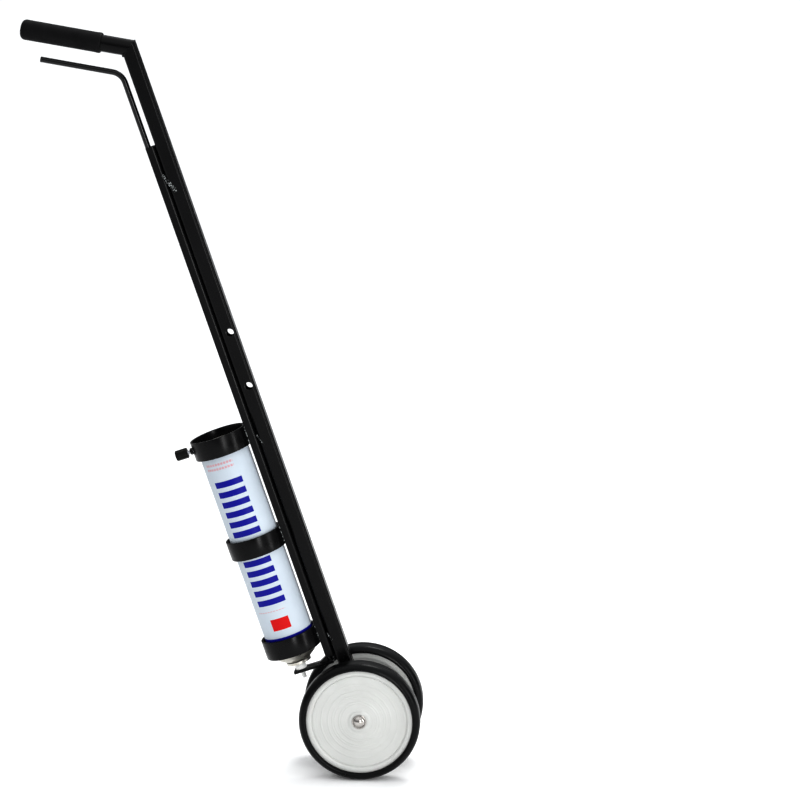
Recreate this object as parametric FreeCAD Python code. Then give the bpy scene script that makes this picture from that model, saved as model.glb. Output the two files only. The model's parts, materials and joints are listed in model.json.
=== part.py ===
"""Walk-along line striping machine: a stem on two wheels that carries an inverted aerosol of paint.

Sizes are in millimetres. The machine's origin is on the ground, midway between the wheels and
under the axle. +Z is up, the handle points to -X, and the axle lies along Y.

Most parts are drawn in the stem's own axes and then leaned over with the stem:
x is the distance behind the stem's line (the aerosol is at negative x),
y is across the machine, and z is the distance up the stem from the axle.
"""
import FreeCAD, Part
import math
import os

# ---- stem, handle and guide -------------------------------------------------------------------
stem_lean = 18.6            # degrees the stem leans back towards the operator
tube_side = 19.0            # square stem tube
tube_wall = 1.5
tube_corner = 4.0           # outer corner radius of the square tube
tube_x = 1.7                # the tube's centre line behind the axle
stem_below_axle = 14.0
stem_corner_z = 920.8       # where the stem and handle centre lines meet
cross_hole_radius = 5.25
cross_hole_x = 3.2
cross_hole_heights = (463.6, 537.5)

handle_rise = 9.7           # degrees the handle rises above level, away from the stem
handle_radius = 10.7
handle_wall = 1.5
grip_radius = 13.0
grip_start = 35.5           # along the handle, measured from the stem corner
grip_end = 139.5
grip_cap = 5.0              # thickness of the grip's closed end
grip_end_round = 6.5
grip_start_round = 2.0

guide_width = 12.7
guide_wall = 1.3
guide_lip_x = -21.0         # the open front edges of the guide channel
guide_bottom = 85.0
guide_top = 795.0

# ---- trigger ----------------------------------------------------------------------------------
rod_radius = 3.6
rod_outer_x = -18.3         # upper run of the rod
rod_inner_x = -16.9         # lower run, set back so that it clears the rings
rod_bend_radius = 20.0
rod_corner_z = 893.4        # where the rod's centre lines would meet
rod_arm = 105.0             # length of the arm under the grip, from that corner
joggle_radius = 10.0
joggle_bottom = 414.5       # the joggle sits on the top ring when the trigger hangs

plate_thickness = 3.5
plate_top = 79.5
plate_half_width = 9.5
plate_front_x = -68.0
plate_back_x = -12.6
plate_hole_radius = 4.6
gusset_half_width = 4.5
gusset_height = 7.5
gusset_front_x = -32.5

# ---- rings and clamp --------------------------------------------------------------------------
can_x = -57.8               # axis of the aerosol
ring_x = -58.5              # axis of the rings, which are a loose fit round it
ring_radius = 37.7
ring_thickness = 3.0
ring_height = 25.4
ring_centres = {"bottom_ring": 120.0, "middle_ring": 262.1, "top_ring": 403.1}

screw_radius = 2.45
screw_play = 0.05
screw_tip_gap = 0.3         # between the screw's tip and the aerosol
screw_end_gap = 0.4         # between the screw's end and the bottom of the knob's bore
ring_hole_play = 0.5        # round the screw where it passes through the ring
nut_across_flats = 8.0
nut_height = 4.0
knob_radius = 6.9
knob_length = 16.0
knob_gap = 7.9              # from the ring to the knob
knob_flutes = 8
knob_flute_radius = 1.6
knob_flute_depth = 0.8
knob_round = 1.2
knob_bore_depth = 10.0

# ---- wheels -----------------------------------------------------------------------------------
wheel_radius = 80.0
wheel_y = 44.5              # middle of each tyre's outer crown
rim_inward = 11.0           # how far the rim and tyre carry on from there towards the stem
axle_radius = 5.0
axle_half_length = 52.0
hub_bore_play = 0.05
rim_radius = 70.7
rim_half_width = 4.4
rim_inner_radius = 62.4
groove_half_width = 2.6
groove_radius = 64.5
web_outer_face = 2.8
web_inner_face = -2.2
boss_radius = 13.5
boss_outer_face = 3.4
boss_inner_face = -12.5
tyre_crown_radius = 9.2
tyre_shoulder_radius = 2.45
spacer_radius = 8.0
spacer_bore_radius = 5.1
spacer_end_gap = 0.5
cap_radius = 9.5
cap_height = 6.0
cap_brim = 1.2
cap_gap = 0.4

# ---- aerosol ----------------------------------------------------------------------------------
can_radius = 32.75
can_wall = 0.5
can_low_seam = 108.6
can_high_seam = 405.0
seam_height = 3.5
seam_radius = 33.0
seam_inner_radius = 31.8
sheet = 0.6                 # thickness of the pressed ends
base_rise = 9.0             # how far the concave base is pressed in
dome_neck_radius = 15.2
dome_neck_z = 93.0
cup_curl_radius = 16.8
cup_curl_bottom = 89.6
cup_floor_z = 95.4
cup_wall_radius = 13.2
pedestal_radius = 5.4
pedestal_face = 91.6
stem_hole_radius = 2.1
valve_stem_radius = 1.8
valve_stem_bottom = 84.0
valve_shoulder_radius = 2.9
valve_shoulder_low = 93.4
valve_shoulder_high = 96.4
valve_stem_top = 97.4
housing_radius = 4.6
housing_bore = 3.5
housing_low = 95.9
housing_high = 110.0
gasket_radius = 4.3
gasket_thickness = 0.9
spring_coil_radius = 2.9
spring_wire_radius = 0.28
spring_seat_gap = 0.05
spring_turns = 5
actuator_radius = 8.0
actuator_neck_radius = 6.2
actuator_bottom = 79.9
actuator_shoulder = 84.2
actuator_top = 88.0
nozzle_radius = 3.0
nozzle_bottom = 66.5
insert_radius = 2.2
insert_length = 6.0
insert_bore = 0.6
ball_radius = 4.0
ball_spread = 9.3           # distance of each mixing ball from the aerosol's axis
ball_gap = 0.2              # between a ball and the cup's floor

# ---- values worked out from the sizes above ---------------------------------------------------
AXLE = FreeCAD.Vector(0, 0, wheel_radius)
ON_STEM = FreeCAD.Placement(AXLE, FreeCAD.Rotation(FreeCAD.Vector(0, 1, 0), -stem_lean))
arm_angle = math.radians(stem_lean + handle_rise)
ARM = FreeCAD.Vector(-math.cos(arm_angle), 0, math.sin(arm_angle))
STEM_CORNER = FreeCAD.Vector(tube_x, 0, stem_corner_z)
tube_front_x = tube_x - tube_side / 2
clamp_z = ring_centres["top_ring"]
ring_front_x = ring_x - ring_radius
ROUND = 1 - math.sqrt(0.5)  # from a corner to the middle of its quarter arc, along one side


# ---- shapes that several parts use ------------------------------------------------------------
def outline_face(start, steps, lift):
    """Close a face from a start point and steps: a point is a line, a pair of points an arc."""
    edges = []
    here = start
    for step in steps:
        if isinstance(step[0], tuple):
            through, there = step
            edges.append(Part.Arc(lift(here), lift(through), lift(there)).toShape())
        else:
            there = step
            edges.append(Part.LineSegment(lift(here), lift(there)).toShape())
        here = there
    return Part.Face(Part.Wire(edges))


def turned(start, steps):
    """Turn an outline of (radius, height) about the Z axis."""
    face = outline_face(start, steps, lambda p: FreeCAD.Vector(p[0], 0, p[1]))
    return face.revolve(FreeCAD.Vector(0, 0, 0), FreeCAD.Vector(0, 0, 1), 360)


def bulge_middle(rim_radius, rim_z, pole_z):
    """Middle point of the round arc from a rim to the pole on the turning axis."""
    rise = pole_z - rim_z
    sphere = (rim_radius ** 2 + rise ** 2) / (2 * rise)
    half = math.asin(rim_radius / abs(sphere)) / 2
    return (abs(sphere) * math.sin(half), pole_z - sphere + sphere * math.cos(half))


def straight_turned(points):
    """Turn a closed outline with straight sides only."""
    return turned(points[0], list(points[1:]) + [points[0]])


def round_bar(radius, base, direction, length):
    """A solid round bar from a base point along a direction."""
    return Part.makeCylinder(radius, length, base, direction)


def round_tube(outer, inner, base, direction, length):
    """A round tube from a base point along a direction."""
    return round_bar(outer, base, direction, length).cut(round_bar(inner, base, direction, length))


def square_bar(side, corner, bottom, top):
    """A square bar up the stem with rounded long edges, centred on the stem tube."""
    low = FreeCAD.Vector(tube_x - side / 2, -side / 2, bottom)
    bar = Part.makeBox(side, side, top - bottom, low)
    upright = [e for e in bar.Edges if abs(e.tangentAt(e.FirstParameter).z) > 0.99]
    return bar.makeFillet(corner, upright)


def beyond_mitre(side):
    """The half-space past the mitre plane: side +1 is the handle's side, -1 the stem's."""
    reach = 2 * grip_end
    normal = (FreeCAD.Vector(0, 0, 1) + ARM).normalize()
    turn = FreeCAD.Rotation(FreeCAD.Vector(0, 0, 1), normal * side)
    block = Part.makeBox(2 * reach, 2 * reach, reach, FreeCAD.Vector(-reach, -reach, 0))
    block.Placement = FreeCAD.Placement(STEM_CORNER, turn)
    return block


def at_can(shape):
    """Move a part turned about Z onto the aerosol's axis."""
    shape.translate(FreeCAD.Vector(can_x, 0, 0))
    return shape


def place(shape, placement):
    """A copy of the shape at a placement, applied after the shape's own one."""
    moved = shape.copy()
    moved.Placement = placement.multiply(shape.Placement)
    return moved


# ---- frame ------------------------------------------------------------------------------------
def stem_tube():
    """Square tube with the axle hole, two cross holes and a mitred top."""
    overlong = stem_corner_z + tube_side
    tube = square_bar(tube_side, tube_corner, -stem_below_axle, overlong)
    inner = tube_side - 2 * tube_wall
    tube = tube.cut(square_bar(inner, tube_corner - tube_wall, -stem_below_axle - 1, overlong + 1))
    across = FreeCAD.Vector(0, 1, 0)
    for height in cross_hole_heights:
        start = FreeCAD.Vector(cross_hole_x, -tube_side, height)
        tube = tube.cut(round_bar(cross_hole_radius, start, across, 2 * tube_side))
    start = FreeCAD.Vector(0, -tube_side, 0)
    tube = tube.cut(round_bar(axle_radius, start, across, 2 * tube_side))
    return tube.cut(beyond_mitre(+1))


def handle_tube():
    """Round tube mitred onto the stem's top."""
    start = STEM_CORNER - ARM * 2 * tube_side
    length = 2 * tube_side + grip_end - grip_cap
    tube = round_tube(handle_radius, handle_radius - handle_wall, start, ARM, length)
    return tube.cut(beyond_mitre(-1))


def grip():
    """Soft sleeve with one closed, rounded end, drawn upright and laid along the handle."""
    far = grip_end - grip_start
    shell = turned(
        (handle_radius, 0),
        [
            (grip_radius - grip_start_round, 0),
            ((grip_radius - ROUND * grip_start_round, ROUND * grip_start_round),
             (grip_radius, grip_start_round)),
            (grip_radius, far - grip_end_round),
            ((grip_radius - ROUND * grip_end_round, far - ROUND * grip_end_round),
             (grip_radius - grip_end_round, far)),
            (0, far),
            (0, far - grip_cap),
            (handle_radius, far - grip_cap),
            (handle_radius, 0),
        ],
    )
    along = FreeCAD.Rotation(FreeCAD.Vector(0, 0, 1), ARM)
    shell.Placement = FreeCAD.Placement(STEM_CORNER + ARM * grip_start, along)
    return shell


def guide_channel():
    """Open-fronted channel with a round back, fixed to the front of the stem."""
    def section(half_width, back_x):
        centre_x = back_x - half_width
        return outline_face(
            (guide_lip_x, -half_width),
            [
                (centre_x, -half_width),
                ((back_x, 0), (centre_x, half_width)),
                (guide_lip_x, half_width),
                (guide_lip_x, -half_width),
            ],
            lambda p: FreeCAD.Vector(p[0], p[1], guide_bottom),
        )

    rise = FreeCAD.Vector(0, 0, guide_top - guide_bottom)
    outside = section(guide_width / 2, tube_front_x).extrude(rise)
    inside = section(guide_width / 2 - guide_wall, tube_front_x - guide_wall).extrude(rise)
    return outside.cut(inside)


def ring(centre, clamp_hole):
    """Flat steel strip rolled into a ring round the aerosol."""
    base = FreeCAD.Vector(ring_x, 0, centre - ring_height / 2)
    up = FreeCAD.Vector(0, 0, 1)
    band = round_tube(ring_radius, ring_radius - ring_thickness, base, up, ring_height)
    if clamp_hole:
        start = FreeCAD.Vector(ring_x, 0, centre)
        outward = FreeCAD.Vector(-1, 0, 0)
        band = band.cut(round_bar(screw_radius + ring_hole_play, start, outward, 2 * ring_radius))
    return band


def clamp_nut():
    """Hexagon nut welded to the front of the top ring."""
    corner = nut_across_flats / 2 / math.cos(math.radians(30))
    points = []
    for side in range(7):
        angle = math.radians(60 * side)
        height = clamp_z + corner * math.cos(angle)
        points.append(FreeCAD.Vector(ring_front_x, corner * math.sin(angle), height))
    outward = FreeCAD.Vector(-nut_height, 0, 0)
    body = Part.Face(Part.makePolygon(points)).extrude(outward)
    start = FreeCAD.Vector(ring_front_x, 0, clamp_z) - outward
    bore = round_bar(screw_radius + screw_play, start, FreeCAD.Vector(-1, 0, 0), 3 * nut_height)
    return body.cut(bore)


def axle():
    """Plain round axle through the foot of the stem."""
    start = FreeCAD.Vector(0, -axle_half_length, 0)
    return round_bar(axle_radius, start, FreeCAD.Vector(0, 1, 0), 2 * axle_half_length)


# ---- trigger ----------------------------------------------------------------------------------
def trigger_rod():
    """Round rod: the arm under the grip, a bend, the long pull and a joggle above the top ring."""
    swing = math.pi / 2 - arm_angle
    bend_reach = rod_bend_radius * math.tan(swing / 2)
    bend_low = rod_corner_z - bend_reach
    bend_centre_x = rod_outer_x - rod_bend_radius
    offset = rod_inner_x - rod_outer_x
    lean = math.acos(1 - offset / 2 / joggle_radius)
    joggle_half = joggle_radius * math.sin(lean)
    joggle_top = joggle_bottom + 2 * joggle_half

    def on_bend(angle):
        return FreeCAD.Vector(
            bend_centre_x + rod_bend_radius * math.cos(angle),
            0,
            bend_low + rod_bend_radius * math.sin(angle),
        )

    def on_joggle(centre_x, centre_z, angle):
        return FreeCAD.Vector(
            centre_x + joggle_radius * math.cos(angle),
            0,
            centre_z + joggle_radius * math.sin(angle),
        )

    arm_end = FreeCAD.Vector(rod_outer_x, 0, rod_corner_z) + ARM * rod_arm
    upper_x = rod_outer_x + joggle_radius
    lower_x = rod_inner_x - joggle_radius
    low_end = on_joggle(lower_x, joggle_bottom, 0)
    low_mid = on_joggle(lower_x, joggle_bottom, lean / 2)
    middle = on_joggle(upper_x, joggle_top, math.pi + lean)
    high_mid = on_joggle(upper_x, joggle_top, math.pi + lean / 2)
    high_end = on_joggle(upper_x, joggle_top, math.pi)
    foot = FreeCAD.Vector(rod_inner_x, 0, plate_top)
    path = Part.Wire(
        [
            Part.LineSegment(foot, low_end).toShape(),
            Part.Arc(low_end, low_mid, middle).toShape(),
            Part.Arc(middle, high_mid, high_end).toShape(),
            Part.LineSegment(high_end, on_bend(0)).toShape(),
            Part.Arc(on_bend(0), on_bend(swing / 2), on_bend(swing)).toShape(),
            Part.LineSegment(on_bend(swing), arm_end).toShape(),
        ]
    )
    section = Part.Wire(Part.makeCircle(rod_radius, foot, FreeCAD.Vector(0, 0, 1)))
    return path.makePipeShell([section], True, True)


def spray_plate():
    """Flat strip that lifts the spray head, with a nozzle hole and a gusset up to the rod."""
    low = FreeCAD.Vector(plate_front_x, -plate_half_width, plate_top - plate_thickness)
    strip = Part.makeBox(plate_back_x - plate_front_x, 2 * plate_half_width, plate_thickness, low)
    rod_front_x = rod_inner_x - rod_radius
    gusset = outline_face(
        (gusset_front_x, plate_top),
        [
            (rod_front_x, plate_top + gusset_height),
            (rod_front_x, plate_top),
            (gusset_front_x, plate_top),
        ],
        lambda p: FreeCAD.Vector(p[0], -gusset_half_width, p[1]),
    ).extrude(FreeCAD.Vector(0, 2 * gusset_half_width, 0))
    strip = strip.fuse(gusset).removeSplitter()
    start = FreeCAD.Vector(can_x, 0, plate_top - 2 * plate_thickness)
    hole = round_bar(plate_hole_radius, start, FreeCAD.Vector(0, 0, 1), 3 * plate_thickness)
    return strip.cut(hole)


# ---- clamp ------------------------------------------------------------------------------------
def clamp_screw():
    """Screw from the aerosol's side through the ring and nut into the knob."""
    tip_x = can_x - can_radius - screw_tip_gap
    end_x = ring_front_x - knob_gap - knob_bore_depth + screw_end_gap
    tip = FreeCAD.Vector(tip_x, 0, clamp_z)
    return round_bar(screw_radius, tip, FreeCAD.Vector(-1, 0, 0), tip_x - end_x)


def clamp_knob():
    """Fluted thumb knob on the screw."""
    outward = FreeCAD.Vector(-1, 0, 0)
    base = FreeCAD.Vector(ring_front_x - knob_gap, 0, clamp_z)
    body = round_bar(knob_radius, base, outward, knob_length)
    rims = [e for e in body.Edges if e.Closed and e.Length > 1.9 * math.pi * knob_radius]
    body = body.makeFillet(knob_round, rims)
    reach = knob_radius + knob_flute_radius - knob_flute_depth
    for flute in range(knob_flutes):
        angle = 2 * math.pi * flute / knob_flutes
        side = base + FreeCAD.Vector(1, reach * math.sin(angle), reach * math.cos(angle))
        body = body.cut(round_bar(knob_flute_radius, side, outward, knob_length + 2))
    return body.cut(round_bar(screw_radius + screw_play, base, outward, knob_bore_depth))


# ---- wheels -----------------------------------------------------------------------------------
def hub():
    """Moulded wheel hub: a wide grooved rim, a thin web near its outer face and a boss."""
    bore = axle_radius + hub_bore_play
    return straight_turned(
        [
            (bore, boss_inner_face),
            (boss_radius - 2, boss_inner_face),
            (boss_radius, web_inner_face),
            (rim_inner_radius, web_inner_face),
            (rim_inner_radius + 1, -rim_inward - rim_half_width),
            (rim_radius, -rim_inward - rim_half_width),
            (rim_radius, -rim_inward - groove_half_width),
            (groove_radius, -rim_inward - groove_half_width),
            (groove_radius, groove_half_width),
            (rim_radius, groove_half_width),
            (rim_radius, rim_half_width),
            (rim_inner_radius + 1, rim_half_width),
            (rim_inner_radius, web_outer_face),
            (boss_radius + 1, web_outer_face),
            (boss_radius, boss_outer_face),
            (bore, boss_outer_face),
        ]
    )


def tyre():
    """Solid rubber tyre: a broad tread with round shoulders, on a tongue in the rim's groove."""
    crown_centre = wheel_radius - tyre_crown_radius
    corner_r = rim_radius + tyre_shoulder_radius
    side = math.sqrt(tyre_crown_radius ** 2 - (corner_r - crown_centre) ** 2)
    tuck = side - tyre_shoulder_radius
    diagonal = tyre_shoulder_radius * math.sqrt(0.5)
    halfway = math.asin(side / tyre_crown_radius) / 2
    bulge_r = crown_centre + tyre_crown_radius * math.cos(halfway)
    bulge_y = tyre_crown_radius * math.sin(halfway)
    return turned(
        (groove_radius, -rim_inward - groove_half_width),
        [
            (rim_radius, -rim_inward - groove_half_width),
            (rim_radius, -rim_inward - tuck),
            ((corner_r - diagonal, -rim_inward - tuck - diagonal), (corner_r, -rim_inward - side)),
            ((bulge_r, -rim_inward - bulge_y), (wheel_radius, -rim_inward)),
            (wheel_radius, 0),
            ((bulge_r, bulge_y), (corner_r, side)),
            ((corner_r - diagonal, tuck + diagonal), (rim_radius, tuck)),
            (rim_radius, groove_half_width),
            (groove_radius, groove_half_width),
            (groove_radius, -rim_inward - groove_half_width),
        ],
    )


def spacer():
    """Sleeve on the axle between the stem and a wheel's boss, measured from the wheel's centre."""
    low = tube_side / 2 - wheel_y
    high = boss_inner_face - spacer_end_gap
    return straight_turned(
        [
            (spacer_bore_radius, low),
            (spacer_radius, low),
            (spacer_radius, high),
            (spacer_bore_radius, high),
        ]
    )


def axle_cap():
    """Pressed domed cap on the axle's end, measured from the wheel's centre."""
    low = boss_outer_face + cap_gap
    end = axle_half_length - wheel_y
    top = low + cap_height
    rim = low + cap_brim
    return turned(
        (axle_radius, low),
        [
            (cap_radius, low),
            (cap_radius, rim),
            (bulge_middle(cap_radius, rim, top), (0, top)),
            (0, end),
            (axle_radius, end),
            (axle_radius, low),
        ],
    )


# ---- aerosol ----------------------------------------------------------------------------------
def can_body():
    """Thin cylinder between the two seams."""
    low = can_low_seam + seam_height
    high = can_high_seam - seam_height
    inner = can_radius - can_wall
    return at_can(straight_turned(
        [(inner, low), (can_radius, low), (can_radius, high), (inner, high)]
    ))


def can_base():
    """Seamed end with a base pressed inwards; it is uppermost on the machine."""
    top = can_high_seam
    low = top - seam_height
    floor = low - base_rise
    return at_can(turned(
        (seam_inner_radius - sheet, low),
        [
            (seam_radius, low),
            (seam_radius, top),
            (seam_inner_radius, top),
            (seam_inner_radius, low + sheet),
            (bulge_middle(seam_inner_radius, low + sheet, floor + sheet), (0, floor + sheet)),
            (0, floor),
            (bulge_middle(seam_inner_radius - sheet, low, floor), (seam_inner_radius - sheet, low)),
        ],
    ))


def can_dome():
    """Seamed dome from the aerosol's side to the neck that holds the valve cup."""
    low = can_low_seam
    high = low + seam_height
    drop = low - dome_neck_z
    mid_r = (seam_inner_radius + dome_neck_radius) / 2 + 1.6
    mid_z = dome_neck_z + 0.40 * drop
    return at_can(turned(
        (seam_inner_radius, high),
        [
            (seam_radius, high),
            (seam_radius, low),
            ((mid_r, mid_z), (dome_neck_radius, dome_neck_z)),
            (dome_neck_radius - sheet, dome_neck_z + sheet),
            ((mid_r - sheet, mid_z + sheet), (seam_inner_radius, low + sheet)),
            (seam_inner_radius, high),
        ],
    ))


def valve_cup():
    """Crimped cup in the dome's neck with a raised pedestal for the valve."""
    curl = cup_curl_radius
    neck = dome_neck_z - 0.05
    return at_can(straight_turned(
        [
            (curl, cup_curl_bottom),
            (curl, neck),
            (dome_neck_radius - 1.2, neck),
            (cup_wall_radius + sheet, cup_floor_z + sheet),
            (pedestal_radius + 1, cup_floor_z + sheet),
            (pedestal_radius, pedestal_face + sheet),
            (stem_hole_radius, pedestal_face + sheet),
            (stem_hole_radius, pedestal_face),
            (pedestal_radius + sheet, pedestal_face),
            (pedestal_radius + 1 + sheet, cup_floor_z),
            (cup_wall_radius, cup_floor_z),
            (cup_wall_radius + 0.8, cup_curl_bottom),
        ]
    ))


def valve_gasket():
    """Rubber washer that the valve stem seals against."""
    low = pedestal_face + sheet
    inner = stem_hole_radius + 0.1
    high = low + gasket_thickness
    return at_can(straight_turned(
        [(inner, low), (gasket_radius, low), (gasket_radius, high), (inner, high)]
    ))


def valve_housing():
    """Plastic cup behind the gasket that holds the spring."""
    wall = housing_radius - housing_bore
    gasket_high = pedestal_face + sheet + gasket_thickness
    return at_can(straight_turned(
        [
            (housing_bore, gasket_high),
            (gasket_radius, gasket_high),
            (gasket_radius, housing_low + sheet),
            (housing_radius, housing_low + 2 * sheet),
            (housing_radius, housing_high),
            (wall, housing_high),
            (wall, housing_high - 2 * wall),
            (housing_bore, housing_high - 2 * wall),
        ]
    ))


def valve_stem():
    """Hollow stem that the spray head pushes, with the shoulder that seals on the gasket."""
    return at_can(straight_turned(
        [
            (0.5, valve_stem_bottom),
            (valve_stem_radius, valve_stem_bottom),
            (valve_stem_radius, valve_shoulder_low),
            (valve_shoulder_radius, valve_shoulder_low),
            (valve_shoulder_radius, valve_shoulder_high),
            (1.2, valve_stem_top),
            (0, valve_stem_top),
            (0, valve_shoulder_low + 1),
            (0.5, valve_shoulder_low + 1),
        ]
    ))


def valve_spring():
    """Small compression spring in the valve housing."""
    end_gap = spring_wire_radius + spring_seat_gap
    low = valve_shoulder_high + end_gap
    high = housing_high - 2 * (housing_radius - housing_bore) - end_gap
    helix = Part.makeHelix((high - low) / spring_turns, high - low, spring_coil_radius)
    start = FreeCAD.Vector(spring_coil_radius, 0, 0)
    section = Part.Wire(Part.makeCircle(spring_wire_radius, start, FreeCAD.Vector(0, 1, 0)))
    coil = Part.Wire(helix).makePipeShell([section], True, True)
    coil.translate(FreeCAD.Vector(0, 0, low))
    return at_can(coil)


def spray_actuator():
    """Spray head: a round button with a nozzle that points down through the plate."""
    socket = valve_stem_radius
    channel = insert_radius
    insert_top = nozzle_bottom + insert_length
    return at_can(straight_turned(
        [
            (channel, nozzle_bottom),
            (nozzle_radius, nozzle_bottom),
            (nozzle_radius, actuator_bottom),
            (actuator_radius, actuator_bottom),
            (actuator_radius, actuator_shoulder),
            (actuator_neck_radius, actuator_top),
            (socket, actuator_top),
            (socket, valve_stem_bottom),
            (insert_bore, valve_stem_bottom),
            (insert_bore, insert_top),
            (channel, insert_top),
        ]
    ))


def nozzle_insert():
    """Spray tip pressed into the nozzle."""
    top = nozzle_bottom + insert_length
    return at_can(straight_turned(
        [
            (insert_bore, nozzle_bottom + 0.5),
            (insert_radius, nozzle_bottom + 0.5),
            (insert_radius, top),
            (insert_bore, top),
        ]
    ))


def mixing_balls():
    """Two loose balls at the aerosol's lower end."""
    height = cup_floor_z + sheet + ball_gap + ball_radius
    spots = [FreeCAD.Vector(can_x, side * ball_spread, height) for side in (-1, 1)]
    return Part.makeCompound([Part.makeSphere(ball_radius, spot) for spot in spots])


# ---- put the machine together -----------------------------------------------------------------
def on_wheel(shape, side):
    """Place a part turned about Z on the axle, its outer face towards side * Y."""
    turn = FreeCAD.Rotation(FreeCAD.Vector(0, 0, 1), FreeCAD.Vector(0, side, 0))
    return place(shape, FreeCAD.Placement(AXLE + FreeCAD.Vector(0, side * wheel_y, 0), turn))


def machine():
    """Every sub-part by its node name."""
    on_the_stem = {
        "stem_tube": stem_tube(),
        "handle_tube": handle_tube(),
        "grip": grip(),
        "guide_channel": guide_channel(),
        "clamp_nut": clamp_nut(),
        "axle": axle(),
        "trigger_rod": trigger_rod(),
        "spray_plate": spray_plate(),
        "clamp_screw": clamp_screw(),
        "clamp_knob": clamp_knob(),
        "can_body": can_body(),
        "can_base": can_base(),
        "can_dome": can_dome(),
        "valve_cup": valve_cup(),
        "valve_gasket": valve_gasket(),
        "valve_housing": valve_housing(),
        "valve_spring": valve_spring(),
        "valve_stem": valve_stem(),
        "spray_actuator": spray_actuator(),
        "nozzle_insert": nozzle_insert(),
        "mixing_balls": mixing_balls(),
    }
    for name, centre in ring_centres.items():
        on_the_stem[name] = ring(centre, clamp_hole=name == "top_ring")
    nodes = {name: place(shape, ON_STEM) for name, shape in on_the_stem.items()}
    for hand, side in (("right", -1), ("left", 1)):
        nodes[f"{hand}_hub"] = on_wheel(hub(), side)
        nodes[f"{hand}_tyre"] = on_wheel(tyre(), side)
        nodes[f"{hand}_spacer"] = on_wheel(spacer(), side)
        nodes[f"{hand}_axle_cap"] = on_wheel(axle_cap(), side)
    return nodes


os.makedirs("parts", exist_ok=True)
for node, shape in machine().items():
    print(f"{node}: {len(shape.Solids)} solid, {shape.Volume / 1000:.2f} cm3, valid {shape.isValid()}")
    shape.exportStep(f"parts/{node}.step")
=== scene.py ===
# %% [markdown]
# # A line striping machine in Blender
# The real object is a black steel stem on two white wheels that carries an upside-down aerosol of
# paint. The machine's design already exists as a set of CAD parts, all in one frame and in metres.
# This lesson loads those parts, gives each one a believable finish, and models the round and soft
# pieces again with more detail than the CAD has.

import json
import math

import bmesh
import bpy
from mathutils import Matrix, Vector


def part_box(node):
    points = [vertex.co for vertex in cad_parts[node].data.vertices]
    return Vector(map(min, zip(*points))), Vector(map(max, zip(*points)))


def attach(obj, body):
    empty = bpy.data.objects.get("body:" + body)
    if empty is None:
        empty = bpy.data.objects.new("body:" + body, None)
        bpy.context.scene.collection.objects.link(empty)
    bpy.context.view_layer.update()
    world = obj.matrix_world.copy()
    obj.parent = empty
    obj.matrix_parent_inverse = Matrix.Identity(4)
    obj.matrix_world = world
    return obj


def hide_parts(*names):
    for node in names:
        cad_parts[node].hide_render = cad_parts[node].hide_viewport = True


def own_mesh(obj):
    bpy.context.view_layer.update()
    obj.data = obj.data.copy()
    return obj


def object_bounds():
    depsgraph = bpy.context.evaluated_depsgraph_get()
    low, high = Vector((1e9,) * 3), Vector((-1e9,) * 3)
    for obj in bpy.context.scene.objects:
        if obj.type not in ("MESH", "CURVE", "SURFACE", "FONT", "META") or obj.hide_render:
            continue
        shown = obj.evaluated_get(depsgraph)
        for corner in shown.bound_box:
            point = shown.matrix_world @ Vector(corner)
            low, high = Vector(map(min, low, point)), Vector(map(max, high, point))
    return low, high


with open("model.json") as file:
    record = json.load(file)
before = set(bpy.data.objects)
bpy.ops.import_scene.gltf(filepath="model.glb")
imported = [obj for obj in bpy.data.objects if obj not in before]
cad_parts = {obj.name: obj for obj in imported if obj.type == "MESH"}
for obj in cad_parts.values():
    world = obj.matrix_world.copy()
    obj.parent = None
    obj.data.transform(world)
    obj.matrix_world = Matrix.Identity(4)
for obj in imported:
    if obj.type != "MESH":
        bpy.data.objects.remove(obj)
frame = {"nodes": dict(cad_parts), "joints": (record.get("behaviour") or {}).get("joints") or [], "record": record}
cad_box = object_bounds()

# %% [markdown]
# ## The stem's own axes
# Nearly everything on this machine leans with the stem, so it is easier to model upright and lean
# the finished piece over. The record says which way the trigger slides, and that is the stem's
# direction. It also says where the wheels turn, and that is the axle. A matrix made from the two
# carries a piece from upright to leaning, and its inverse measures a CAD part as if it stood
# upright.

# %% Find the stem
MM = 0.001
joints = {joint["name"]: joint for joint in frame["joints"]}
up_stem = Vector(joints["trigger_pull"]["axis"]).normalized()
across = Vector((0, 1, 0))
behind = across.cross(up_stem)
axle_centre = Vector(joints["right_wheel_roll"]["pos_m"])
on_stem = Matrix.Translation(axle_centre) @ Matrix((behind, across, up_stem)).transposed().to_4x4()
upright = on_stem.inverted()


def stem_box(node):
    """Lowest and highest corner of a CAD part, measured in the stem's own axes."""
    points = [upright @ vertex.co for vertex in frame["nodes"][node].data.vertices]
    low = Vector([min(p[i] for p in points) for i in range(3)])
    high = Vector([max(p[i] for p in points) for i in range(3)])
    return low, high


can_low, can_high = stem_box("can_body")
can_radius = (can_high.y - can_low.y) / 2
can_x = (can_high.x + can_low.x) / 2
can_axis = on_stem @ Matrix.Translation((can_x, 0, 0))
print(f"aerosol: radius {can_radius / MM:.1f} mm, {abs(can_x) / MM:.1f} mm in front of the stem line")

# %% [markdown]
# ## Camera
# The machine is seen from its right side and a little from above and behind, with a long lens, so
# its lines stay nearly parallel. The camera is placed by turning about a point at mid height:
# azimuth goes round the machine, elevation goes up, and distance goes back.

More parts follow.
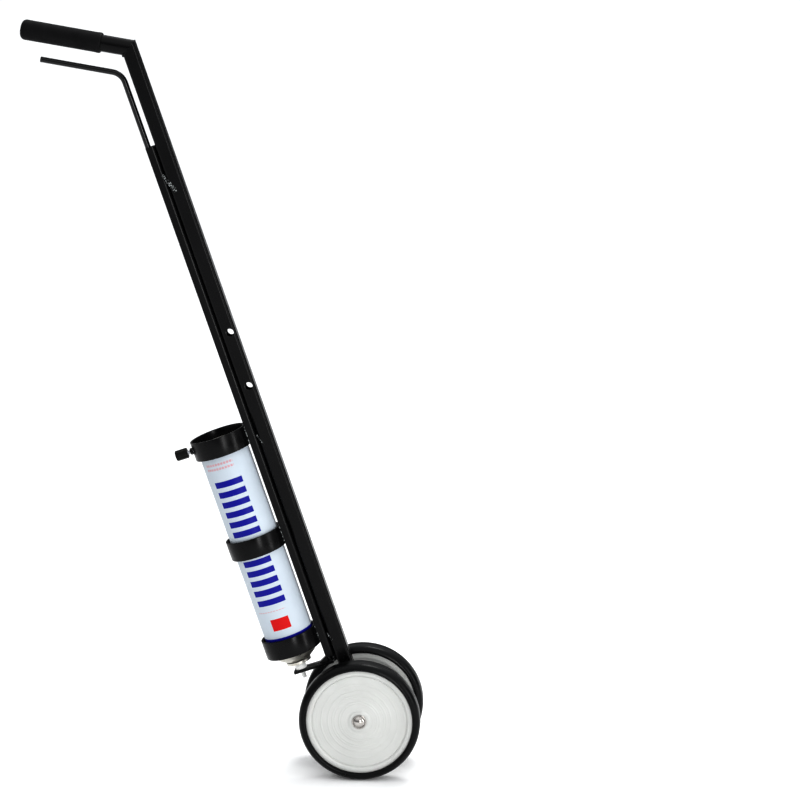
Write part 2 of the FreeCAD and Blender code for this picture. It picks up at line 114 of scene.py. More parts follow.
# %% Place the camera
camera_azimuth = math.radians(3.35)
camera_elevation = math.radians(11.72)
camera_distance = 3.0785
camera_lens, sensor_width = 106.94, 36
aim_behind_axle, aim_height = 0.0509, 0.5025
aim = Vector((axle_centre.x + aim_behind_axle, 0, aim_height))
away = Vector((
    math.sin(camera_azimuth) * math.cos(camera_elevation),
    -math.cos(camera_azimuth) * math.cos(camera_elevation),
    math.sin(camera_elevation),
))
camera_data = bpy.data.cameras.new("camera")
camera_data.lens = camera_lens
camera_data.sensor_width = sensor_width
camera = bpy.data.objects.new("camera", camera_data)
bpy.context.scene.collection.objects.link(camera)
camera.location = aim + away * camera_distance
camera.rotation_euler = (-away).to_track_quat("-Z", "Y").to_euler()
bpy.context.scene.camera = camera
print("camera at", [round(value, 3) for value in camera.location])

# %% [markdown]
# ## Floor and light
# The object stands on a plain pale floor under soft studio light. Black paint shows its shape only
# by what it reflects, so the world is bright overhead and dim towards the horizon: upright black
# faces then stay deep black, and the floor is still bright. Two softboxes stand low, because
# an upright round bar mirrors what is level with it. They draw the soft lines that run down the
# rod, the channel and the tube's corner. One overhead lights the crowns of the tyres.

# %% Light the studio
def alone():
    """Object mode with nothing selected: the state that every primitive starts from."""
    if bpy.context.object and bpy.context.object.mode != "OBJECT":
        bpy.ops.object.mode_set(mode="OBJECT")
    bpy.ops.object.select_all(action="DESELECT")


def softbox(name, azimuth, elevation, distance, width, height, watts):
    """An area light on a sphere round the machine: azimuth 0 is the machine's right side."""
    around, up = math.radians(azimuth), math.radians(elevation)
    towards = Vector((math.sin(around) * math.cos(up), -math.cos(around) * math.cos(up), math.sin(up)))
    alone()
    bpy.ops.object.light_add(type="AREA", location=aim + towards * distance)
    lamp = bpy.context.object
    lamp.name = name
    lamp.data.shape = "RECTANGLE"
    lamp.data.size = width
    lamp.data.size_y = height
    lamp.data.energy = watts
    lamp.rotation_euler = (-towards).to_track_quat("-Z", "Y").to_euler()


softbox("key_light", azimuth=20, elevation=7, distance=3.0, width=0.5, height=1.5, watts=32)
softbox("edge_light", azimuth=66, elevation=8, distance=3.0, width=0.5, height=1.8, watts=22)
softbox("top_light", azimuth=152, elevation=66, distance=2.4, width=0.8, height=0.8, watts=24)

dim_up_to, bright_from = 0.1, 0.75
dim_sky, bright_sky = 0.1, 1.42
blacks_gamma = 0.72
floor_size, floor_gap = 600, 0.0005
world = bpy.data.worlds.new("studio")
world.use_nodes = True
sky = world.node_tree
direction = sky.nodes.new("ShaderNodeTexCoord")
height = sky.nodes.new("ShaderNodeSeparateXYZ")
brightness = sky.nodes.new("ShaderNodeMapRange")
brightness.inputs["From Min"].default_value = dim_up_to
brightness.inputs["From Max"].default_value = bright_from
brightness.inputs["To Min"].default_value = dim_sky
brightness.inputs["To Max"].default_value = bright_sky
sky.links.new(direction.outputs["Generated"], height.inputs["Vector"])
sky.links.new(height.outputs["Z"], brightness.inputs["Value"])
sky.links.new(brightness.outputs["Result"], sky.nodes["Background"].inputs["Strength"])
sky.nodes["Background"].inputs["Color"].default_value = (0.98, 0.99, 1.0, 1)
bpy.context.scene.world = world
bpy.context.scene.view_settings.view_transform = "Standard"
bpy.context.scene.view_settings.gamma = blacks_gamma

floor_paint = bpy.data.materials.new("studio_floor")
floor_paint.use_nodes = True
floor_shader = floor_paint.node_tree.nodes["Principled BSDF"]
floor_shader.inputs["Base Color"].default_value = (0.97, 0.97, 0.97, 1)
floor_shader.inputs["Roughness"].default_value = 0.8
floor_shader.inputs["Specular IOR Level"].default_value = 0.2
alone()
bpy.ops.mesh.primitive_plane_add(size=floor_size, location=(0, 0, cad_box[0].z - floor_gap))
floor = bpy.context.object
floor.name = "studio_floor"
floor.data.materials.append(floor_paint)

# %% [markdown]
# ## The parts of a finish
# Every finish here is procedural, which means that nodes work it out from where a point lies on the
# object. Real surfaces are never one flat colour: powder paint has an orange-peel skin, rubber has a
# bloom, and steel is dull in patches. So each finish is made of the same few parts: noise of a given
# grain, a colour that wanders between two tones, a roughness that wanders between two values, and a
# bump. Small helpers add one part each.

# %% Helpers that build a finish
def finish_with(name, roughness, metallic=0.0, specular=0.5):
    """A new finish; the values that are the same all over sit on the shader's own sockets."""
    finish = bpy.data.materials.new(name)
    finish.use_nodes = True
    shader = finish.node_tree.nodes["Principled BSDF"]
    shader.inputs["Roughness"].default_value = roughness
    shader.inputs["Metallic"].default_value = metallic
    shader.inputs["Specular IOR Level"].default_value = specular
    return finish


def grain(finish, per_metre, detail=3.0, stretch=(1, 1, 1)):
    """Noise with a given number of grains to the metre, stretched if the grain has a direction."""
    nodes, links = finish.node_tree.nodes, finish.node_tree.links
    where = nodes.new("ShaderNodeTexCoord")
    mapping = nodes.new("ShaderNodeMapping")
    mapping.inputs["Scale"].default_value = stretch
    noise = nodes.new("ShaderNodeTexNoise")
    noise.inputs["Scale"].default_value = per_metre
    noise.inputs["Detail"].default_value = detail
    links.new(where.outputs["Object"], mapping.inputs["Vector"])
    links.new(mapping.outputs["Vector"], noise.inputs["Vector"])
    return noise.outputs["Fac"]


def tones(finish, mask, stops):
    """Colour that follows a mask between two stops of (position, colour)."""
    ramp = finish.node_tree.nodes.new("ShaderNodeValToRGB")
    for element, (position, colour) in zip(ramp.color_ramp.elements, stops):
        element.position = position
        element.color = (*colour, 1)
    finish.node_tree.links.new(mask, ramp.inputs["Fac"])
    return ramp.outputs["Color"]


def colour_by(finish, mask, stops):
    """Paint the finish with tones."""
    shader = finish.node_tree.nodes["Principled BSDF"]
    finish.node_tree.links.new(tones(finish, mask, stops), shader.inputs["Base Color"])


def roughness_by(finish, mask, smooth, rough):
    """Let the roughness wander between two values where the mask runs from low to high."""
    spread = finish.node_tree.nodes.new("ShaderNodeMapRange")
    spread.inputs["From Min"].default_value = 0.3
    spread.inputs["From Max"].default_value = 0.7
    spread.inputs["To Min"].default_value = smooth
    spread.inputs["To Max"].default_value = rough
    finish.node_tree.links.new(mask, spread.inputs["Value"])
    shader = finish.node_tree.nodes["Principled BSDF"]
    finish.node_tree.links.new(spread.outputs["Result"], shader.inputs["Roughness"])


def bump_by(finish, mask, depth, strength=0.5):
    """Raise the skin by a depth in metres, on top of any bump that is there already."""
    nodes, links = finish.node_tree.nodes, finish.node_tree.links
    shader = nodes["Principled BSDF"]
    bump = nodes.new("ShaderNodeBump")
    bump.inputs["Distance"].default_value = depth
    bump.inputs["Strength"].default_value = strength
    if shader.inputs["Normal"].is_linked:
        links.new(shader.inputs["Normal"].links[0].from_socket, bump.inputs["Normal"])
    links.new(mask, bump.inputs["Height"])
    links.new(bump.outputs["Normal"], shader.inputs["Normal"])


print("helpers ready")

# %% [markdown]
# ## Black finishes
# The frame is powder coated, which gives a satin skin with a fine orange peel. The trigger rod is
# glossier where the hand and the channel polish it. The grip is a dull sleeve, the knob is moulded
# plastic, and the tyres are solid rubber with a faint bluish bloom. All of them are nearly black,
# so they are told apart by roughness and grain, not by colour.

# %% Black finishes
finishes = {}

powder = finishes["powder_coat"] = finish_with("satin_powder_coat", 0.27, specular=0.22)
colour_by(powder, grain(powder, 14), [(0.35, (0.002, 0.002, 0.0024)), (0.7, (0.004, 0.004, 0.0045))])
roughness_by(powder, grain(powder, 60, 4), 0.2, 0.32)
bump_by(powder, grain(powder, 620, 2), 0.00006, 0.35)

rod_coat = finishes["rod_coat"] = finish_with("glossy_rod_coat", 0.14, specular=0.5)
colour_by(rod_coat, grain(rod_coat, 25), [(0.35, (0.002, 0.002, 0.0025)), (0.7, (0.004, 0.004, 0.005))])
roughness_by(rod_coat, grain(rod_coat, 90, 4), 0.12, 0.24)
bump_by(rod_coat, grain(rod_coat, 400, 2), 0.00003, 0.25)

sleeve = finishes["grip_rubber"] = finish_with("dull_grip_sleeve", 0.62, specular=0.16)
colour_by(sleeve, grain(sleeve, 40, 4), [(0.3, (0.004, 0.004, 0.0045)), (0.75, (0.008, 0.008, 0.009))])
roughness_by(sleeve, grain(sleeve, 120, 4), 0.5, 0.7)
bump_by(sleeve, grain(sleeve, 1500, 2), 0.00008, 0.4)

knob_black = finishes["knob_plastic"] = finish_with("moulded_knob_black", 0.4, specular=0.16)
colour_by(knob_black, grain(knob_black, 80), [(0.35, (0.006, 0.0065, 0.006)), (0.7, (0.012, 0.013, 0.012))])
roughness_by(knob_black, grain(knob_black, 200, 4), 0.3, 0.5)
bump_by(knob_black, grain(knob_black, 1200, 2), 0.00006, 0.4)

rubber = finishes["tyre_rubber"] = finish_with("tyre_rubber_black", 0.3, specular=0.22)
colour_by(rubber, grain(rubber, 30, 5), [(0.3, (0.0015, 0.0017, 0.002)), (0.75, (0.003, 0.0034, 0.004))])
roughness_by(rubber, grain(rubber, 70, 5), 0.24, 0.38)
bump_by(rubber, grain(rubber, 900, 3), 0.00008, 0.35)

seal = finishes["seal_rubber"] = finish_with("seal_rubber_black", 0.7)
colour_by(seal, grain(seal, 200), [(0.3, (0.02, 0.02, 0.02)), (0.7, (0.035, 0.035, 0.035))])
bump_by(seal, grain(seal, 1500), 0.00005)
print("black finishes:", len(finishes))

# %% [markdown]
# ## Metal finishes
# Bare metal shows in small places only: the domed caps on the axle are chromed, the screw and the
# sleeves are zinc plated, and the aerosol's ends are tinplate. Zinc and tinplate are dull in
# patches, so noise drives their roughness harder than the chrome's.

# %% Metal finishes
chrome = finishes["chrome"] = finish_with("polished_chrome", 0.1, metallic=1.0)
colour_by(chrome, grain(chrome, 120, 4), [(0.3, (0.44, 0.42, 0.40)), (0.7, (0.55, 0.53, 0.51))])
roughness_by(chrome, grain(chrome, 300, 4), 0.18, 0.28)
bump_by(chrome, grain(chrome, 700, 2), 0.00002, 0.2)

zinc = finishes["zinc_steel"] = finish_with("zinc_plated_steel", 0.3, metallic=1.0)
colour_by(zinc, grain(zinc, 150, 4), [(0.3, (0.50, 0.51, 0.53)), (0.7, (0.68, 0.69, 0.71))])
roughness_by(zinc, grain(zinc, 220, 5), 0.22, 0.42)
bump_by(zinc, grain(zinc, 900, 2), 0.00003, 0.3)

tin = finishes["tinplate"] = finish_with("dull_tinplate", 0.32, metallic=1.0)
colour_by(tin, grain(tin, 60, 4), [(0.3, (0.48, 0.46, 0.41)), (0.7, (0.66, 0.65, 0.61))])
roughness_by(tin, grain(tin, 160, 5), 0.24, 0.44)
bump_by(tin, grain(tin, 500, 3), 0.00004, 0.3)

# Weld finish: black with bright grey metal specks. On the dressed patch at the top they are bare metal. On the
# stitches and ring welds they are painted glints, standing in for highlights on glossy weld paint.
bare_weld = finish_with("bare_weld_metal", 0.4, metallic=0.85)
colour_by(bare_weld, grain(bare_weld, 520, 5), [(0.48, (0.006, 0.006, 0.006)), (0.62, (0.40, 0.42, 0.42))])
roughness_by(bare_weld, grain(bare_weld, 700, 4), 0.3, 0.6)
bump_by(bare_weld, grain(bare_weld, 900, 4), 0.0004, 0.8)
print("metal finishes ready, with bare weld metal")

# %% [markdown]
# ## Moulded wheel plastic
# The hubs are turned or moulded in an off-white plastic, and fine rings from the mould run round
# the axle. A Wave texture set to rings about Y draws them, once a Mapping node has moved its centre
# to the axle.

# %% White and grey plastics
hub_white = finishes["hub_plastic"] = finish_with("hub_plastic_white", 0.32, specular=0.5)
colour_by(hub_white, grain(hub_white, 22, 4), [(0.3, (0.53, 0.535, 0.52)), (0.7, (0.57, 0.575, 0.56))])
roughness_by(hub_white, grain(hub_white, 40, 3), 0.3, 0.38)
hub_nodes, hub_links = hub_white.node_tree.nodes, hub_white.node_tree.links
hub_where = hub_nodes.new("ShaderNodeTexCoord")
hub_centre = hub_nodes.new("ShaderNodeMapping")
hub_centre.inputs["Location"].default_value = -axle_centre
hub_rings = hub_nodes.new("ShaderNodeTexWave")
hub_rings.wave_type = "RINGS"
hub_rings.rings_direction = "Y"
hub_rings.inputs["Scale"].default_value = 110
hub_rings.inputs["Distortion"].default_value = 0.4
hub_links.new(hub_where.outputs["Object"], hub_centre.inputs["Vector"])
hub_links.new(hub_centre.outputs["Vector"], hub_rings.inputs["Vector"])
bump_by(hub_white, hub_rings.outputs["Fac"], 0.00005, 0.25)
bump_by(hub_white, grain(hub_white, 500, 2), 0.00002, 0.15)

white = finishes["white_plastic"] = finish_with("spray_head_white", 0.3)
colour_by(white, grain(white, 90), [(0.3, (0.82, 0.82, 0.81)), (0.7, (0.90, 0.90, 0.89))])
roughness_by(white, grain(white, 200), 0.25, 0.4)
bump_by(white, grain(white, 800), 0.00003, 0.3)

grey = finishes["grey_plastic"] = finish_with("nozzle_grey", 0.4)
colour_by(grey, grain(grey, 200), [(0.3, (0.30, 0.32, 0.33)), (0.7, (0.42, 0.44, 0.45))])
roughness_by(grey, grain(grey, 300), 0.3, 0.5)
bump_by(grey, grain(grey, 900), 0.00003, 0.3)
print("plastics ready")

# %% [markdown]
# ## The aerosol's printed lacquer
# The aerosol is printed over pale blue-white lacquer. A real label would carry a name, so this one
# is plain shapes instead: broad blue bars across the front like a marked crossing, a blue band
# near each end, a red block low down, and rows of fine red dashes where small print would be. The
# pattern reads Object coordinates that a Mapping node turns into the can's own axes, so z runs up
# the can and an angle runs round it.

# %% Printed lacquer
lacquer = finishes["can_lacquer"] = finish_with("printed_can_lacquer", 0.42, specular=0.25)
print_nodes, print_links = lacquer.node_tree.nodes, lacquer.node_tree.links
print_where = print_nodes.new("ShaderNodeTexCoord")
print_frame = print_nodes.new("ShaderNodeMapping")
can_frame = can_axis.inverted()
print_frame.inputs["Location"].default_value = can_frame.to_translation()
print_frame.inputs["Rotation"].default_value = can_frame.to_euler()
print_xyz = print_nodes.new("ShaderNodeSeparateXYZ")
print_links.new(print_where.outputs["Object"], print_frame.inputs["Vector"])
print_links.new(print_frame.outputs["Vector"], print_xyz.inputs["Vector"])


def sum_of(operation, first, second):
    """One Math node on the label, where either side is a number or another node's output."""
    node = print_nodes.new("ShaderNodeMath")
    node.operation = operation
    for socket, value in zip(node.inputs, (first, second)):
        if isinstance(value, (int, float)):
            socket.default_value = value
        else:
            print_links.new(value, socket)
    return node.outputs["Value"]


def within(value, lowest, highest):
    """1 between two limits and 0 outside them."""
    return sum_of("MULTIPLY", sum_of("GREATER_THAN", value, lowest), sum_of("LESS_THAN", value, highest))


up_can = print_xyz.outputs["Z"]
from_front = sum_of("ARCTAN2", print_xyz.outputs["X"], sum_of("MULTIPLY", print_xyz.outputs["Y"], -1.0))
bar_pitch, bar_length = 14 * MM, 8 * MM
bars_from, bars_to = 182 * MM, 364 * MM
dash_pitch, dash_length = math.radians(7), math.radians(5)
fine_print_strength = 0.45
bars = sum_of("LESS_THAN", sum_of("FLOORED_MODULO", up_can, bar_pitch), bar_length)
bars = sum_of("MULTIPLY", bars, within(up_can, bars_from, bars_to))
bars = sum_of("MULTIPLY", bars, within(from_front, math.radians(-40), math.radians(30)))
end_bands = sum_of("ADD", within(up_can, 126 * MM, 135.5 * MM), within(up_can, 392 * MM, 398 * MM))
blue = sum_of("MAXIMUM", bars, end_bands)
red = within(up_can, 146 * MM, 162 * MM)
red = sum_of("MULTIPLY", red, within(from_front, math.radians(-22), math.radians(22)))
dashes = sum_of("LESS_THAN", sum_of("FLOORED_MODULO", from_front, dash_pitch), dash_length)
fine_rows = sum_of("ADD", within(up_can, 374 * MM, 377 * MM), within(up_can, 380 * MM, 383 * MM))
fine_rows = sum_of("ADD", fine_rows, within(up_can, 172.5 * MM, 173.5 * MM))
fine_rows = sum_of("MULTIPLY", fine_rows, within(from_front, math.radians(-48), math.radians(22)))
fine_red = sum_of("MULTIPLY", sum_of("MULTIPLY", fine_rows, dashes), fine_print_strength)


def overprint(under, ink, mask):
    """Lay an ink over what is under it where the mask is 1."""
    mix = print_nodes.new("ShaderNodeMix")
    mix.data_type = "RGBA"
    factor, colour_under, colour_over = mix.inputs[0], mix.inputs[6], mix.inputs[7]
    colour_over.default_value = (*ink, 1)
    print_links.new(mask, factor)
    print_links.new(under, colour_under)
    return mix.outputs[2]


ground_coat = tones(lacquer, grain(lacquer, 30, 4), [(0.3, (0.50, 0.55, 0.60)), (0.7, (0.53, 0.58, 0.63))])
printed = overprint(ground_coat, (0.003, 0.003, 0.27), blue)
printed = overprint(printed, (0.55, 0.003, 0.005), red)
printed = overprint(printed, (0.62, 0.05, 0.05), fine_red)
print_links.new(printed, print_nodes["Principled BSDF"].inputs["Base Color"])
roughness_by(lacquer, grain(lacquer, 50, 3), 0.38, 0.48)
bump_by(lacquer, grain(lacquer, 700, 2), 0.00001, 0.15)
print("label bars:", round((bars_to - bars_from) / bar_pitch), "across the front")

# %% [markdown]
# ## Give every CAD part its finish
# The record names a finish for each CAD part. The CAD parts keep their meshes, and only the material
# in their slots changes. Parts that are modelled again further down get theirs when they are made.

# %% Dress the CAD parts
slot_of = {part["node"]: part["material_slot"] for part in frame["record"]["subparts"]}
for node, part in frame["nodes"].items():
    for slot in part.material_slots:
        slot.material = finishes[slot_of[node]]
print("dressed", len(frame["nodes"]), "CAD parts in", len(set(slot_of.values())), "finishes")

# %% [markdown]
# ## Turned pieces
# Wheels, tyres, caps, rings, the aerosol and the grip are all round. On a lathe each is one outline
# turned about an axis, and Blender's spin tool does the same. A plane is merged to a single point,
# the point is extruded along the outline, and spin turns it. The doubled seam is merged and the
# normals are recalculated, so that the skin is closed and faces outwards. A bevel then takes the
# sharpness off the edges, because a real edge always catches a thin line of light.

# %% Helpers for turned pieces
def arc(centre, radius, start, end, steps):
    """Points along an arc in the outline's plane, with angles in degrees from the outward side."""
    turns = [math.radians(start + (end - start) * k / steps) for k in range(steps + 1)]
    return [(centre[0] + radius * math.cos(a), centre[1] + radius * math.sin(a)) for a in turns]


def turned(name, outline, sides=96):
    """Turn an outline of (radius, height) about the Z axis into one closed skin."""
    alone()
    bpy.ops.mesh.primitive_plane_add(size=MM)
    piece = bpy.context.object
    piece.name = name
    bpy.ops.object.mode_set(mode="EDIT")
    bpy.ops.mesh.select_all(action="SELECT")
    bpy.ops.mesh.merge(type="CENTER")
    bpy.ops.transform.translate(value=(outline[0][0], 0, outline[0][1]))
    for here, there in zip(outline, outline[1:]):
        step = (there[0] - here[0], 0, there[1] - here[1])
        bpy.ops.mesh.extrude_region_move(TRANSFORM_OT_translate={"value": step})
    bpy.ops.mesh.select_all(action="SELECT")
    bpy.ops.mesh.spin(steps=sides, angle=math.tau, center=(0, 0, 0), axis=(0, 0, 1))
    bpy.ops.mesh.select_all(action="SELECT")
    bpy.ops.mesh.remove_doubles(threshold=MM / 200)
    bpy.ops.mesh.normals_make_consistent(inside=False)
    bpy.ops.object.mode_set(mode="OBJECT")
    return piece


def soften(piece, width, segments=2, sharper_than=35):
    """Bevel the edges that are sharper than an angle, and shade the rest smoothly."""
    alone()
    piece.select_set(True)
    bpy.context.view_layer.objects.active = piece
    if width:
        bevel = piece.modifiers.new("bevel", "BEVEL")
        bevel.width = width
        bevel.segments = segments
        bevel.limit_method = "ANGLE"
        bevel.angle_limit = math.radians(sharper_than)
        bpy.ops.object.modifier_apply(modifier="bevel")
    bpy.ops.object.shade_smooth_by_angle(angle=math.radians(sharper_than))
    return piece


def set_down(piece, place):
    """Put a piece at its place and keep the place in its mesh, with the object at the origin."""
    alone()
    piece.select_set(True)
    bpy.context.view_layer.objects.active = piece
    piece.matrix_world = place @ piece.matrix_world
    bpy.ops.object.transform_apply(location=True, rotation=True, scale=True)
    return piece


def stand_in_for(piece, *nodes):
    """Dress a piece like the CAD parts it replaces, and let it move with their body."""
    bodies = frame["record"]["behaviour"]["bodies"]
    body = next(name for name, members in bodies.items() if nodes[0] in members)
    piece.data.materials.clear()
    piece.data.materials.append(finishes[slot_of[nodes[0]]])
    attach(piece, body)
    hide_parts(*nodes)
    return piece


print("lathe ready")

# %% [markdown]
# ## Tyres
# Each tyre is a broad band of solid rubber with round shoulders and a fine line round the middle
# of its tread, where the two halves of its mould met. The same outline is turned once for each
# wheel. The wheel centres and the tyre's size come from the CAD parts.

# %% Turn the tyres
tyre_low, tyre_high = [Vector(corner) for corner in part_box("right_tyre")]
rim_radius, lip_face = 70.7 * MM, 4.4 * MM
crown, shoulder = 9.2 * MM, 2.45 * MM
stretch_over_rim = 0.4 * MM
mould_line, line_half, line_foot = 0.2 * MM, 0.3 * MM, 0.9 * MM
wheel_radius = (tyre_high.x - tyre_low.x) / 2
wheel_out = -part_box("right_hub")[0][1] - lip_face
bulge = -tyre_low.y - wheel_out
inward = tyre_high.y - tyre_low.y - 2 * bulge
tuck = bulge - shoulder
crown_centre = wheel_radius - crown
crown_turn = math.degrees(math.asin(min(1, bulge / crown)))


def on_wheel(side):
    """From an upright lathe piece to the axle: side -1 is the machine's right, +1 its left."""
    turn = Vector((0, side, 0)).to_track_quat("Z", "Y").to_matrix().to_4x4()
    return Matrix.Translation(axle_centre + Vector((0, side * wheel_out, 0))) @ turn


tyre_bore = rim_radius - stretch_over_rim
tread_middle = -inward / 2
tyre_outline = [(tyre_bore, -inward - tuck)]
tyre_outline += arc((rim_radius + shoulder, -inward - tuck), shoulder, 180, 270, 6)
tyre_outline += arc((crown_centre, -inward), crown, -crown_turn + 2, 0, 18)
line_low, line_high = tread_middle - line_half, tread_middle + line_half
tyre_outline += [(wheel_radius - mould_line, tread_middle - line_foot), (wheel_radius, line_low)]
tyre_outline += [(wheel_radius, line_high), (wheel_radius - mould_line, tread_middle + line_foot)]
tyre_outline += arc((crown_centre, 0), crown, 0, crown_turn - 2, 18)
tyre_outline += arc((rim_radius + shoulder, tuck), shoulder, 90, 180, 6)
tyre_outline += [(tyre_bore, tuck), tyre_outline[0]]
for hand, side in (("right", -1), ("left", 1)):
    tyre = soften(turned(f"{hand}_tyre_detail", tyre_outline, 160), 0, sharper_than=60)
    stand_in_for(set_down(tyre, on_wheel(side)), f"{hand}_tyre")
print(f"tyres: {2 * wheel_radius / MM:.0f} mm across, {(2 * bulge + inward) / MM:.1f} mm wide")

# %% [markdown]
# ## Hubs
# The hub is an off-white disc near the outer face of a broad rim: a flat raised lip, a shallow
# dish inside it with faint rings from the mould, and a low boss round the axle. Most of the rings
# are a few hundredths of a millimetre high and a few stand a fifth of a millimetre, but they are
# real geometry here, because they show as soft circles in raking light. The groove under the tyre
# is hidden, so the outline runs straight behind it.

# %% Turn the hubs
web_face, boss_face = 2.8 * MM, 3.4 * MM
boss_radius, bore_radius, boss_back = 13.5 * MM, 5.05 * MM, -12.5 * MM
hub_outline = [(bore_radius, boss_face - 0.5 * MM), (bore_radius + 0.5 * MM, boss_face)]
hub_outline += [(boss_radius - 1.2 * MM, boss_face), (boss_radius, boss_face - 0.25 * MM)]
hub_outline += [(boss_radius + 0.8 * MM, web_face - 0.5 * MM)]
ring_from, ring_to, ring_steps = 18 * MM, 60 * MM, 14
dish_start, dish_depth, dish_slope = 0.35 * MM, 1.5 * MM, 3.2
tall_rings, tall_ridge, faint_ridge = (2, 3, 5, 6, 8, 11), 0.22 * MM, 0.05 * MM
for k in range(ring_steps + 1):
    radius = ring_from + (ring_to - ring_from) * k / ring_steps
    dish = web_face - dish_start - dish_depth * min(1, dish_slope * min(k, ring_steps - k) / ring_steps)
    ridge = tall_ridge if k in tall_rings else faint_ridge
    hub_outline += [(radius - 0.8 * MM, dish), (radius, dish + ridge), (radius + 0.4 * MM, dish)]
hub_outline += [(61.6 * MM, web_face - 0.35 * MM), (62.0 * MM, web_face - 0.9 * MM)]
hub_outline += [(62.5 * MM, web_face - 0.9 * MM), (62.9 * MM, web_face - 0.2 * MM)]
hub_outline += [(64.0 * MM, lip_face - 0.3 * MM), (65.2 * MM, lip_face)]
hub_outline += [(69.7 * MM, lip_face), (rim_radius, lip_face - 0.9 * MM)]
hub_outline += [(rim_radius, -inward - lip_face + 0.9 * MM), (69.7 * MM, -inward - lip_face)]
hub_outline += [(63.6 * MM, -inward - lip_face), (62.6 * MM, -inward - lip_face + 1.0 * MM)]
hub_outline += [(62.4 * MM, -3.4 * MM), (61.2 * MM, -2.2 * MM)]
hub_outline += [(boss_radius + 1.5 * MM, -2.2 * MM), (boss_radius, -3.2 * MM)]
hub_outline += [(boss_radius - 2 * MM, boss_back), (bore_radius, boss_back), hub_outline[0]]
for hand, side in (("right", -1), ("left", 1)):
    hub = soften(turned(f"{hand}_hub_detail", hub_outline, 160), 0, sharper_than=50)
    stand_in_for(set_down(hub, on_wheel(side)), f"{hand}_hub")
print("hub rings:", ring_steps + 1)

# %% [markdown]
# ## Axle caps
# A pressed steel cap is driven onto each end of the axle. It is a low dome on a thin brim. An arc
# through the brim and the crown gives the dome, and the chrome's bright finish does the rest.

# %% Turn the axle caps
cap_radius, cap_foot, cap_brim, cap_top = 9.5 * MM, 3.8 * MM, 4.9 * MM, 9.8 * MM
cap_bore, bore_end = 5.02 * MM, 7.6 * MM
dome_rise = cap_top - cap_brim
dome_foot = cap_radius - 1.0 * MM
dome_radius = (dome_foot ** 2 + dome_rise ** 2) / (2 * dome_rise)
dome_angle = math.degrees(math.acos(dome_foot / dome_radius))
cap_outline = [(cap_bore, cap_foot), (cap_radius - 0.2 * MM, cap_foot), (cap_radius, cap_foot + 0.3 * MM)]
cap_outline += [(cap_radius, cap_brim - 0.3 * MM), (cap_radius - 0.3 * MM, cap_brim)]
cap_outline += arc((0, cap_top - dome_radius), dome_radius, dome_angle, 90, 18)
cap_outline += [(0, bore_end), (cap_bore, bore_end), cap_outline[0]]
for hand, side in (("right", -1), ("left", 1)):
    cap = soften(turned(f"{hand}_cap_detail", cap_outline, 72), 0, sharper_than=50)
    stand_in_for(set_down(cap, on_wheel(side)), f"{hand}_axle_cap")
print(f"caps: {2 * cap_radius / MM:.0f} mm across")

# %% [markdown]
# ## Rings
# Three rings of flat steel strip hold the aerosol. Sharp edges would look like paper, so the
# outline is a rectangle whose corners are bevelled by half a millimetre, as worn steel strip is.

# %% Turn the rings
strip = 3.0 * MM
for node in ("top_ring", "middle_ring", "bottom_ring"):
    ring_low, ring_high = stem_box(node)
    outer = (ring_high.y - ring_low.y) / 2
    centre = (ring_low.x + ring_high.x) / 2
    outline = [(outer - strip, ring_low.z), (outer, ring_low.z), (outer, ring_high.z)]
    outline += [(outer - strip, ring_high.z), (outer - strip, ring_low.z)]
    ring = soften(turned(f"{node}_detail", outline, 128), 0.5 * MM, 3)
    stand_in_for(set_down(ring, on_stem @ Matrix.Translation((centre, 0, 0))), node)
print(f"rings: {2 * outer / MM:.1f} mm across, {(ring_high.z - ring_low.z) / MM:.1f} mm high")

# %% [markdown]
# ## Aerosol
# The can hangs upside down. Its body is a thin printed tube with a narrow neck-in at each seam, its
# seams are rolled, and below the lower one a tinplate dome runs down to the valve cup. Tube, dome
# and base are turned from three outlines on the can's own axis, and the heights of the seams come
# from the CAD parts.

# %% Turn the aerosol
seam_top = stem_box("can_base")[1].z
seam_low = stem_box("can_dome")[0].z
wall, neck_in, neck_length = 0.5 * MM, 0.35 * MM, 1.2 * MM
body_outline = [(can_radius - wall, can_low.z), (can_radius - neck_in, can_low.z)]
body_outline += [(can_radius, can_low.z + neck_length), (can_radius, can_high.z - neck_length)]
body_outline += [(can_radius - neck_in, can_high.z), (can_radius - wall, can_high.z), body_outline[0]]
tube = soften(turned("can_body_detail", body_outline, 144), 0, sharper_than=30)
stand_in_for(set_down(tube, can_axis), "can_body")

seam_radius = (stem_box("can_dome")[1].y - stem_box("can_dome")[0].y) / 2
seam_height = 3.5 * MM
dome_top = can_low.z
shell = 0.6 * MM
roll_in, roll_down = 0.5 * MM, 0.7 * MM
seam_foot = dome_top - seam_height
dome_outline = [(seam_radius - 1.2 * MM, dome_top)]
dome_outline += [(seam_radius - roll_in, dome_top), (seam_radius, dome_top - roll_down)]
dome_outline += [(seam_radius, seam_foot + roll_down), (seam_radius - roll_in, seam_foot)]
dome_bow = [(31.2, 106.4), (29.4, 104.0), (26.6, 101.1), (23.2, 98.4), (19.4, 95.7), (15.6, 93.3)]
dome_outline += [(radius * MM, level * MM) for radius, level in dome_bow]
dome_outline += [((radius - 0.3) * MM, level * MM + shell) for radius, level in reversed(dome_bow)]
dome_outline += [dome_outline[0]]
dome = soften(turned("can_dome_detail", dome_outline, 128), 0.25 * MM, 2, 40)
stand_in_for(set_down(dome, can_axis), "can_dome")

